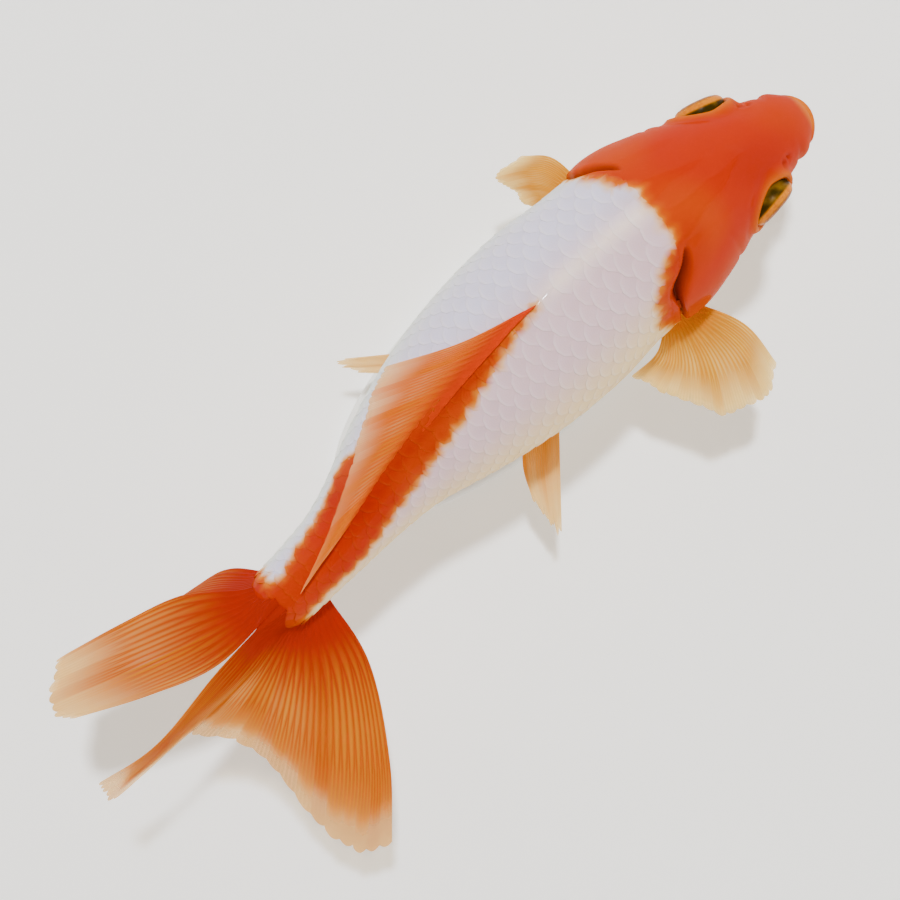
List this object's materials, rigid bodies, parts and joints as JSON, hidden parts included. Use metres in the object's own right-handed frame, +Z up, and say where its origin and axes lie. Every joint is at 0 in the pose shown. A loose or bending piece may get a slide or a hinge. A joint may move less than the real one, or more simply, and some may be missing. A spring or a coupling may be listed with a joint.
{
  "type": "goldfish model",
  "caption": "Life-size still model of a red-and-white goldfish with a fanned, doubled tail, held level on a plain display stand.",
  "frame": {"origin": "middle of the underside of the stand's base", "axes": "+X towards the snout, +Y to the fish's left, +Z up from the surface that the stand is on"},
  "size_m": [0.1257, 0.0578, 0.0588],
  "materials": {
    "red_skin": "glossy wet-looking skin with fine scales",
    "pearl_skin": "glossy pearly scales",
    "orange_fin": "thin satin fin with soft rays",
    "eye_dark": "polished",
    "white_stand": "satin",
    "steel_rod": "brushed"
  },
  "bodies": {
    "root": {"anal_fin_left": "orange_fin", "anal_fin_right": "orange_fin", "caudal_lower_left": "orange_fin", "caudal_lower_right": "orange_fin", "caudal_upper_left": "orange_fin", "caudal_upper_right": "orange_fin", "dorsal_fin": "orange_fin", "eye_left": "eye_dark", "eye_right": "eye_dark", "gill_cover_left": "red_skin", "gill_cover_right": "red_skin", "head": "red_skin", "pectoral_fin_left": "orange_fin", "pectoral_fin_right": "orange_fin", "pelvic_fin_left": "orange_fin", "pelvic_fin_right": "orange_fin", "stand_base": "white_stand", "stand_rod_front": "steel_rod", "stand_rod_rear": "steel_rod", "tail_stalk": "pearl_skin", "trunk": "pearl_skin"}
  },
  "joints": []
}
